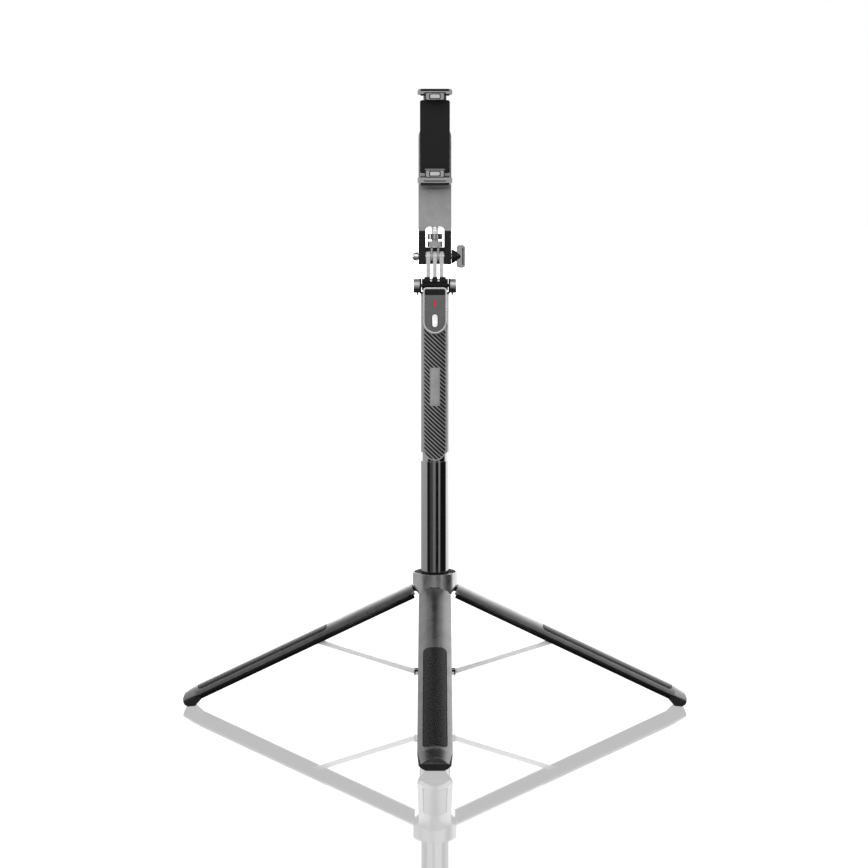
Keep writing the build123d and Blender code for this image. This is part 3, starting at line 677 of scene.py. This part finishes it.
def make_camera_screw():
    """Quarter-inch screw with its real thread."""
    low, high = in_mm("camera_screw")
    root = high.x - THREAD_DEPTH
    rings = int((high.z - low.z) / THREAD_PITCH * THREAD_STEPS_PER_TURN)

    def thread(along, angle):
        turn = (along - low.z) / THREAD_PITCH - angle / (2 * math.pi)
        ridge = 1 - abs(2 * (turn - math.floor(turn)) - 1)
        run_out = min(1.0, (high.z - along) / THREAD_RUN_OUT, (along - low.z) / THREAD_RUN_OUT)
        return THREAD_DEPTH * max(0.0, min(1.0, 1.6 * ridge - 0.2)) * max(0.0, run_out)

    profile = [(low.z + (high.z - low.z) * ring / rings, root) for ring in range(rings + 1)]
    bm = lathe(profile, Matrix.Identity(4), steps=28, wobble=thread)
    screw = new_piece("camera_screw_thread", mesh_of(bm, "camera_screw_thread"), "holder", "strut_steel")
    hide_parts("camera_screw")


def add_head_screws():
    """Two small pan-head screws in the front of the head block."""
    low, high = in_mm("head_block")
    for side, x in HEAD_SCREW_X.items():
        place = Matrix.Translation((x * MM, low.y * MM, (high.z - HEAD_SCREW_DROP) * MM))
        place = place @ Matrix.Rotation(math.radians(90), 4, "X")
        bm = lathe(HEAD_SCREW_PROFILE, place, 20)
        new_piece(f"head_screw_{side}", mesh_of(bm, f"head_screw_{side}"), "head", "strut_steel")


def add_knob_collar():
    """Fluted black cone and nose between the yoke and the knob's wing, and black strips on the wing as painted
    shade in its groove lines.
    """
    middle = joint_place("knob_turn")
    place = Matrix.Translation(middle) @ Matrix.Rotation(math.radians(90), 4, "Y")

    def flutes(along, angle):
        return FLUTE_DEPTH * math.cos(COLLAR_FLUTES * angle)

    bm = lathe(COLLAR_PROFILE, place, 96, flutes)
    new_piece("knob_collar", mesh_of(bm, "knob_collar"), "knob", "black_gloss")
    nose = lathe(NOSE_PROFILE, place, 96)
    new_piece("knob_nose", mesh_of(nose, "knob_nose"), "knob", "black_gloss")
    # Painted shade: black strips stand where the grooves on the wing show dark from shade.
    for side, front in (("front", -KNOB_HALF - 0.06), ("back", KNOB_HALF - 0.4)):
        front_plate(f"knob_groove_painted_shade_{side}", "knob", "black_moulding", (KNOB_GROOVE_SHADE_X, middle.z / MM), 0.46, 7.4,
                    front, front + 0.46, 0.4, edge=0.05)


def add_ear_straps():
    """Black block and tab under each hinge cap."""
    low, high = in_mm("head_hinge_caps")
    for side, out in (("left", -1), ("right", 1)):
        middle = out * (high.x - STRAP_HALF - 0.1)
        front_plate(f"hinge_strap_{side}", "pole_4", "black_moulding", (middle, STRAP_Z), STRAP_HALF, 1.75,
                    low.y - 0.1, high.y + 0.1, 0.6, edge=0.25)
        front_plate(f"hinge_tab_{side}", "pole_4", "black_moulding", (out * TAB_X, STRAP_Z - TAB_DROP),
                    0.75, 1.4, -1.6, 1.6, 0.4, edge=0.15)


def add_adapter_sides():
    """Black strip down each side of the adapter's front."""
    low, high = in_mm("two_prong_adapter")
    height = high.z - ADAPTER_STRIP_DROP
    for side, out in (("left", -1), ("right", 1)):
        front_plate(f"adapter_side_{side}", "holder", "black_moulding", (out * ADAPTER_STRIP_X, height), 0.62,
                    2.3, low.y - 0.08, low.y + 0.4, 0.3, edge=0.06)


def add_remote_band():
    """Black window across the top of the remote's face."""
    low, high = in_mm("remote_face")
    middle = ((low.x + high.x) / 2, high.z - BAND_HEIGHT / 2 - 0.15)
    half = (high.x - low.x) / 2 - 0.15
    front_plate("remote_top_band", "remote", "black_gloss", middle, half, BAND_HEIGHT / 2, low.y - 0.12,
                low.y + 0.3, 1.2, edge=0.08)


def joint_place(name):
    """Where a joint's axis is, in metres."""
    return Vector(next(joint for joint in frame["joints"] if joint["name"] == name)["pos_m"])


def leg_place(side):
    """From a leg folded along -Z on the +X side, with its hinge pin at the origin, to the open leg."""
    open_angle = next(j for j in frame["joints"] if j["name"] == f"leg_fold_{side}")["range_deg"][1]
    turn = Matrix.Rotation(math.radians(LEG_TURNS[side]), 4, "Z")
    opening = Matrix.Rotation(math.radians(LEG_SLACK_DEG - open_angle), 4, "Y")
    return Matrix.Translation(joint_place(f"leg_fold_{side}")) @ turn @ opening


def node_on_leg(node, side):
    """A CAD node's points, in metres, on the folded leg."""
    home = leg_place(side).inverted()
    return [home @ vertex.co for vertex in NODES[node].data.vertices]


def add_inlay_borders():
    """Black gasket that fills the groove round each inlay strip."""
    for side in LEG_TURNS:
        points = node_on_leg(f"leg_inlay_{side}", side)
        half = max(point.y for point in points) / MM
        top = max(point.z for point in points) / MM
        end = min(point.z for point in points) / MM
        skin = max(point.x for point in points) / MM - INLAY_PROUD
        hinge = joint_place(f"leg_fold_{side}").xy.length / MM
        radius = skin + hinge
        bm = bmesh.new()
        loops = []
        length = (top - end) / 2
        inner = INLAY_FIT
        outer = INLAY_GROOVE - INLAY_FIT
        for grow, sink in ((inner, BORDER_BOTTOM), (inner, 0.16), (outer, 0.06), (outer, BORDER_BOTTOM)):
            outline = rounded_rectangle(half + grow, length + grow, INLAY_CORNER + grow, 8)
            outline = divide(outline)
            loop = []
            for y, z in outline:
                x = math.sqrt((radius - sink) ** 2 - y * y) - hinge
                loop.append(bm.verts.new((x * MM, y * MM, (z + (top + end) / 2) * MM)))
            loops.append(loop)
        for first, second in zip(loops, loops[1:] + loops[:1]):
            join_loops(bm, first, second)
        bmesh.ops.transform(bm, matrix=leg_place(side), verts=bm.verts)
        name = f"leg_inlay_border_{side}"
        new_piece(name, mesh_of(bm, name), f"leg_{side}", "foot_rubber")


def divide(outline):
    """The outline with its two short straight ends divided, so that it bends round the leg."""
    points = []
    for first, second in zip(outline, outline[1:] + outline[:1]):
        points.append(first)
        if abs(first[1] - second[1]) < 1e-6:
            for index in range(1, END_DIVISIONS):
                share = index / END_DIVISIONS
                points.append((first[0] + (second[0] - first[0]) * share, first[1]))
    return points


def join_loops(bm, first, second):
    """Faces between two closed loops of equal length."""
    count = len(first)
    for index in range(count):
        after = (index + 1) % count
        bm.faces.new((first[index], first[after], second[after], second[index]))


def slice_mesh(bm, place, point, normal, keep_beyond):
    """Cuts a closed bmesh at a plane, given in millimetres on the folded leg, and closes the cut."""
    spot = place @ (Vector((point[0], 0, point[1])) * MM)
    facing = (place.to_3x3() @ Vector((normal[0], 0, normal[1]))).normalized()
    everything = bm.verts[:] + bm.edges[:] + bm.faces[:]
    cutting = bmesh.ops.bisect_plane(bm, geom=everything, plane_co=spot, plane_no=facing,
                                     clear_inner=keep_beyond, clear_outer=not keep_beyond)
    rim = [item for item in cutting["geom_cut"] if isinstance(item, bmesh.types.BMEdge)]
    bmesh.ops.holes_fill(bm, edges=rim)


def split_feet():
    """Each foot as a grey end cap, with a black rubber toe and sole set on it."""
    for side in LEG_TURNS:
        place = leg_place(side)
        for part, (slot, edge, cuts) in FOOT_PARTS.items():
            bm = bmesh.new()
            bm.from_mesh(NODES[f"leg_foot_{side}"].data)
            bmesh.ops.remove_doubles(bm, verts=bm.verts, dist=WELD_GAP)
            for point, normal, keep_beyond in cuts:
                slice_mesh(bm, place, point, normal, keep_beyond)
            bmesh.ops.dissolve_limit(bm, angle_limit=FLAT_ANGLE, verts=bm.verts, edges=bm.edges)
            name = f"leg_foot_{part}_{side}"
            piece = new_piece(name, mesh_of(bm, name), f"leg_{side}", slot, edge=edge * MM)
            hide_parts(f"leg_foot_{side}")


# ---------------------------------------------------------------- build
add_camera()
add_floor()
add_studio()
add_soft_lights()
FINISHES = dress_cad_nodes()
dress_jaws()
make_jaw_pads()
make_camera_screw()
add_head_screws()
add_knob_collar()
add_ear_straps()
add_adapter_sides()
add_remote_band()
add_inlay_borders()
split_feet()
